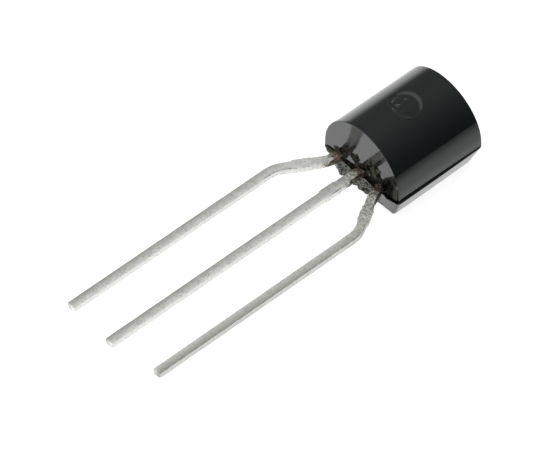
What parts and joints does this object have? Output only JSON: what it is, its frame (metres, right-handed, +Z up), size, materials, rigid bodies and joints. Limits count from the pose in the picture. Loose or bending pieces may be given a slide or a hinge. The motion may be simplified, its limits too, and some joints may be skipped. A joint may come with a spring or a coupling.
{
  "type": "to-92 transistor",
  "caption": "Through-hole transistor in a half-round moulded case, with formed leads splayed to a wider pitch.",
  "frame": {"origin": "on the surface that the flat lies on, midway across the part and midway from the longest lead's tip to the far end of the case", "axes": "+X from the lead tips towards the case, +Y across the leads towards the base lead, +Z up from the flat to the round"},
  "size_m": [0.0192, 0.0056, 0.0038],
  "materials": {
    "epoxy": "black moulding epoxy, glossy on the round, duller on the ends",
    "tinned_lead": "dull tin plate on copper alloy, darker and bare near the case",
    "silicon": "polished chip",
    "silver_epoxy": "matt silver-filled epoxy",
    "gold": "drawn gold wire"
  },
  "bodies": {
    "root": {"epoxy_case": "epoxy", "base_lead": "tinned_lead", "collector_lead": "tinned_lead", "emitter_lead": "tinned_lead", "silicon_die": "silicon", "die_attach": "silver_epoxy", "base_wire": "gold", "emitter_wire": "gold"}
  },
  "joints": []
}
